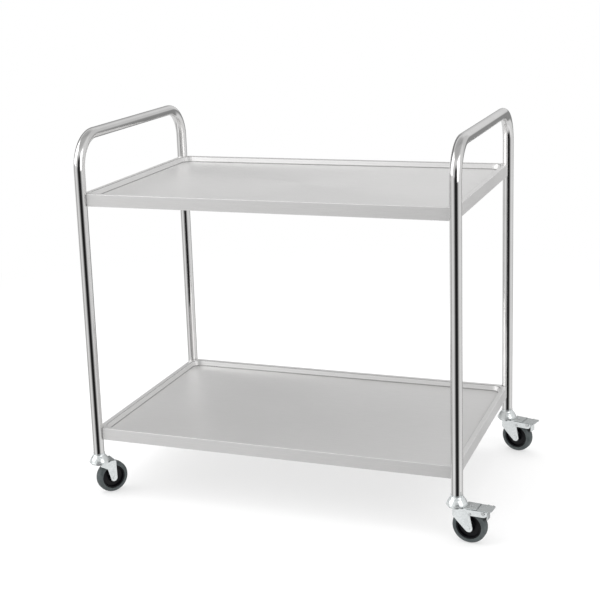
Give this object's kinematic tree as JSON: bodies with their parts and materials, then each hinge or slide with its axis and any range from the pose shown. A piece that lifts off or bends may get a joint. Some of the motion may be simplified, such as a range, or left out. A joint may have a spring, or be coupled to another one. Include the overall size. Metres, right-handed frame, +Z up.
{
  "type": "instrument cart",
  "caption": "Two-shelf stainless instrument cart with bent-tube end frames that form the push handles, on swivel casters, braked at one end.",
  "frame": {"origin": "on the floor, midway between the four legs, under the middle of the shelves", "axes": "+X along the shelves towards the end with the braked casters, +Y across the shelves towards the rear, +Z up"},
  "size_m": [1.0023, 0.5967, 0.8615],
  "materials": {
    "polished_tube": "mirror-polished stainless steel",
    "satin_sheet": "satin-brushed stainless sheet, grained along the shelf",
    "zinc_plate": "bright zinc-plated pressed steel",
    "fastener_steel": "bright plated fasteners, pins and balls",
    "core_plastic": "black moulded plastic",
    "tyre_rubber": "dark grey soft rubber, slightly dusty",
    "sleeve_rubber": "black rubber",
    "shoe_rubber": "black rubber brake block"
  },
  "bodies": {
    "cart": {"left_end_frame": "polished_tube", "right_end_frame": "polished_tube", "top_shelf": "satin_sheet", "lower_shelf": "satin_sheet", "top_stiffener": "satin_sheet", "lower_stiffener": "satin_sheet", "top_corner_gussets": "satin_sheet", "lower_corner_gussets": "satin_sheet", "shelf_bolts": "fastener_steel", "threaded_inserts": "fastener_steel", "expander_nuts": "fastener_steel", "expander_sleeve_fl": "sleeve_rubber", "caster_stem_fl": "fastener_steel", "swivel_cup_fl": "zinc_plate", "swivel_balls_fl": "fastener_steel", "expander_sleeve_fr": "sleeve_rubber", "caster_stem_fr": "fastener_steel", "swivel_cup_fr": "zinc_plate", "swivel_balls_fr": "fastener_steel", "expander_sleeve_rl": "sleeve_rubber", "caster_stem_rl": "fastener_steel", "swivel_cup_rl": "zinc_plate", "swivel_balls_rl": "fastener_steel", "expander_sleeve_rr": "sleeve_rubber", "caster_stem_rr": "fastener_steel", "swivel_cup_rr": "zinc_plate", "swivel_balls_rr": "fastener_steel"},
    "swivel_fl": {"fork_fl": "zinc_plate", "axle_pin_fl": "zinc_plate", "axle_bush_fl": "fastener_steel"},
    "wheel_fl": {"wheel_core_fl": "core_plastic", "tyre_fl": "tyre_rubber"},
    "swivel_fr": {"fork_fr": "zinc_plate", "axle_pin_fr": "zinc_plate", "axle_bush_fr": "fastener_steel", "brake_bracket_fr": "zinc_plate", "brake_rivets_fr": "fastener_steel", "brake_leaf_fr": "zinc_plate", "brake_pivot_pin_fr": "fastener_steel"},
    "wheel_fr": {"wheel_core_fr": "core_plastic", "tyre_fr": "tyre_rubber"},
    "brake_fr": {"brake_pedal_fr": "zinc_plate", "brake_shoe_fr": "shoe_rubber"},
    "swivel_rl": {"fork_rl": "zinc_plate", "axle_pin_rl": "zinc_plate", "axle_bush_rl": "fastener_steel"},
    "wheel_rl": {"wheel_core_rl": "core_plastic", "tyre_rl": "tyre_rubber"},
    "swivel_rr": {"fork_rr": "zinc_plate", "axle_pin_rr": "zinc_plate", "axle_bush_rr": "fastener_steel", "brake_bracket_rr": "zinc_plate", "brake_rivets_rr": "fastener_steel", "brake_leaf_rr": "zinc_plate", "brake_pivot_pin_rr": "fastener_steel"},
    "wheel_rr": {"wheel_core_rr": "core_plastic", "tyre_rr": "tyre_rubber"},
    "brake_rr": {"brake_pedal_rr": "zinc_plate", "brake_shoe_rr": "shoe_rubber"}
  },
  "joints": [
    {"name": "swivel_fl", "type": "hinge", "parent": "cart", "child": "swivel_fl", "pos_m": [-0.4275, -0.2725, 0.087], "axis": [0, 0, 1], "continuous": true},
    {"name": "roll_fl", "type": "hinge", "parent": "swivel_fl", "child": "wheel_fl", "pos_m": [-0.40965, -0.24965, 0.0375], "axis": [-0.788, 0.6157, 0], "continuous": true},
    {"name": "swivel_fr", "type": "hinge", "parent": "cart", "child": "swivel_fr", "pos_m": [0.4275, -0.2725, 0.087], "axis": [0, 0, 1], "continuous": true},
    {"name": "roll_fr", "type": "hinge", "parent": "swivel_fr", "child": "wheel_fr", "pos_m": [0.45634, -0.27553, 0.0375], "axis": [0.1045, 0.9945, 0], "continuous": true},
    {"name": "pedal_fr", "type": "hinge", "parent": "swivel_fr", "child": "brake_fr", "pos_m": [0.49065, -0.27914, 0.0766], "axis": [0.1045, 0.9945, 0], "range_deg": [0, 15]},
    {"name": "swivel_rl", "type": "hinge", "parent": "cart", "child": "swivel_rl", "pos_m": [-0.4275, 0.2725, 0.087], "axis": [0, 0, 1], "continuous": true},
    {"name": "roll_rl", "type": "hinge", "parent": "swivel_rl", "child": "wheel_rl", "pos_m": [-0.4565, 0.2725, 0.0375], "axis": [0, -1, 0], "continuous": true},
    {"name": "swivel_rr", "type": "hinge", "parent": "cart", "child": "swivel_rr", "pos_m": [0.4275, 0.2725, 0.087], "axis": [0, 0, 1], "continuous": true},
    {"name": "roll_rr", "type": "hinge", "parent": "swivel_rr", "child": "wheel_rr", "pos_m": [0.45551, 0.26499, 0.0375], "axis": [0.2588, 0.9659, 0], "continuous": true},
    {"name": "pedal_rr", "type": "hinge", "parent": "swivel_rr", "child": "brake_rr", "pos_m": [0.48884, 0.25606, 0.0766], "axis": [0.2588, 0.9659, 0], "range_deg": [0, 15]}
  ]
}
